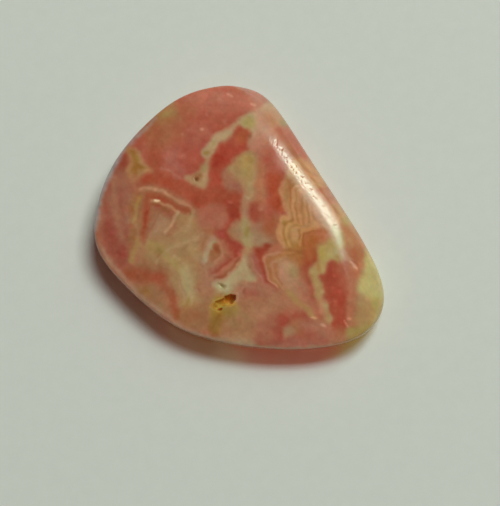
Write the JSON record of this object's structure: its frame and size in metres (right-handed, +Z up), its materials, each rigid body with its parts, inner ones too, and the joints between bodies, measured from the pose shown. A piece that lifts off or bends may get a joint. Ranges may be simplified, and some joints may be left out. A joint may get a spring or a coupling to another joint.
{
  "type": "rhodochrosite slice",
  "caption": "Flat polished slice of banded rhodochrosite, rounded three-cornered, with one bevelled straight side and an open vug in its top.",
  "frame": {"origin": "middle of the bounding box's bottom, on the flat underside", "axes": "+Z up through the slice's thickness, +Y from the broad near edge to the narrow far corner, +X along the length"},
  "size_m": [0.029, 0.0276, 0.0039],
  "materials": {
    "rhodochrosite": "polished"
  },
  "bodies": {
    "root": {"stone": "rhodochrosite"}
  },
  "joints": []
}
